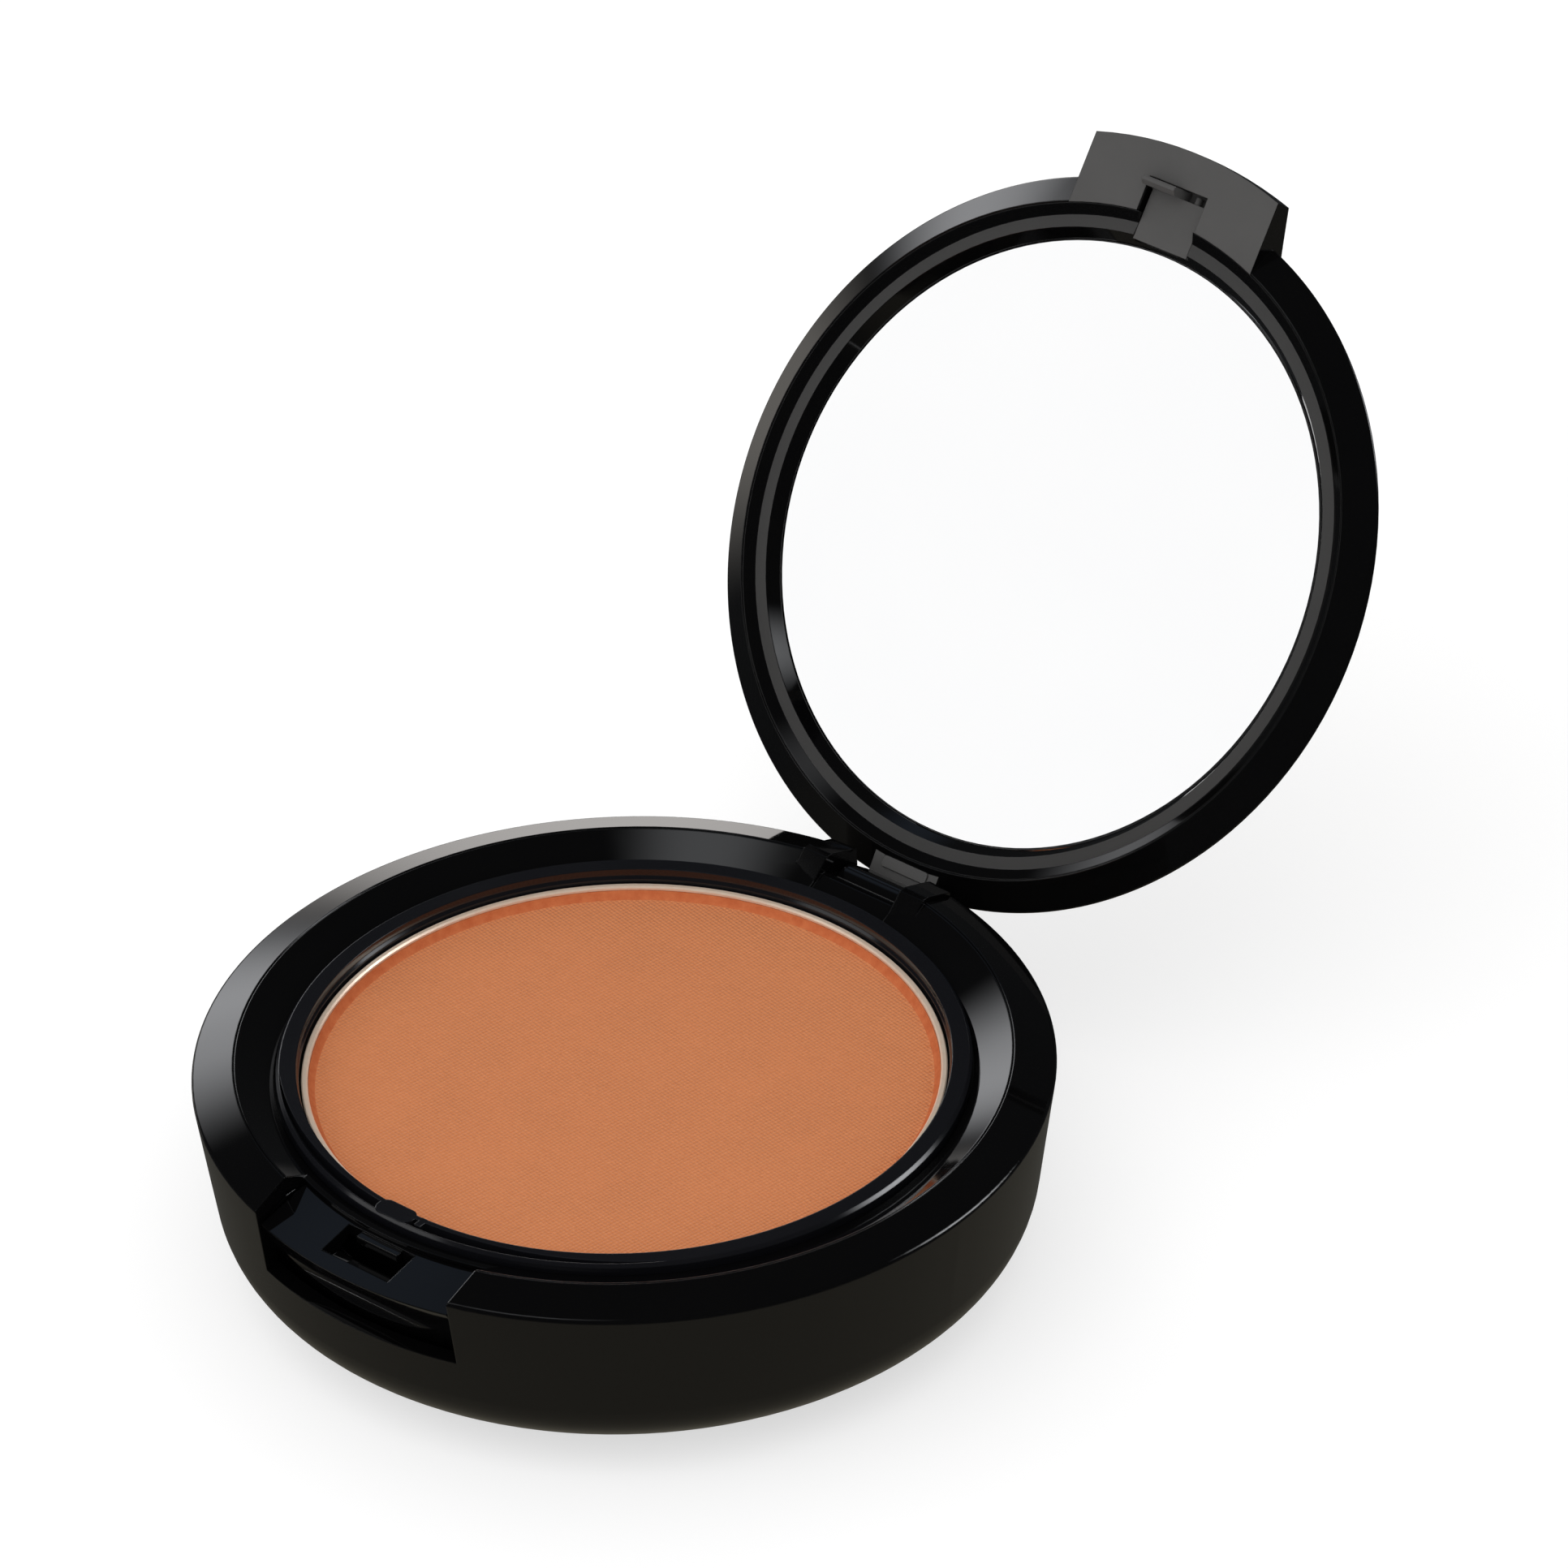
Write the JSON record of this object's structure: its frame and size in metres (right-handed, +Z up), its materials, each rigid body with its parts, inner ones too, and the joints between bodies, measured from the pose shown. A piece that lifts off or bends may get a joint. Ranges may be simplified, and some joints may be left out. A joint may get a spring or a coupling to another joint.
{
  "type": "powder compact",
  "caption": "Round powder compact with a domed mirror lid on a rear hinge, a front push-button latch, a pan of pressed powder in a tray, and a puff in the well below.",
  "frame": {"origin": "centre of the flat bottom that the compact stands on", "axes": "+Z up out of the powder, -Y to the push button, +Y to the lid's hinge, +X to the right seen from the button"},
  "size_m": [0.079, 0.1249, 0.0754],
  "materials": {
    "gloss_case": "polished black moulding",
    "matte_bezel": "fine matte dark grey moulding",
    "mirror_glass": "flat silvered glass",
    "powder": "pressed powder with a fine embossed weave",
    "pan_tin": "pressed sheet, satin",
    "puff_velour": "soft short pile",
    "adhesive": "double-sided foam tape",
    "label_film": "blank printed film",
    "spring_steel": "bare spring strip",
    "pin_steel": "drawn wire"
  },
  "bodies": {
    "base": {"base_shell": "gloss_case", "base_frame": "gloss_case", "base_label": "label_film", "button_spring": "spring_steel", "tray": "matte_bezel", "pan_pad": "adhesive", "powder_pan": "pan_tin", "powder_cake": "powder", "puff": "puff_velour", "lid_hinge_pin": "pin_steel"},
    "lid": {"lid_cover": "gloss_case", "mirror_frame": "matte_bezel", "mirror": "mirror_glass", "mirror_pad": "adhesive", "latch_hook": "matte_bezel", "hinge_plug": "matte_bezel"},
    "button": {"latch_button": "gloss_case"}
  },
  "joints": [
    {"name": "lid_hinge", "type": "hinge", "parent": "base", "child": "lid", "pos_m": [0, 0.03647, 0.01739], "axis": [1, 0, 0], "range_deg": [0, 128.12]},
    {"name": "button_press", "type": "slide", "parent": "base", "child": "button", "axis": [0, 1, 0], "range_m": [0, 0.0008], "stiffness_N_per_m": 1500, "springref_m": -0.001, "deforming": ["button_spring"]}
  ]
}
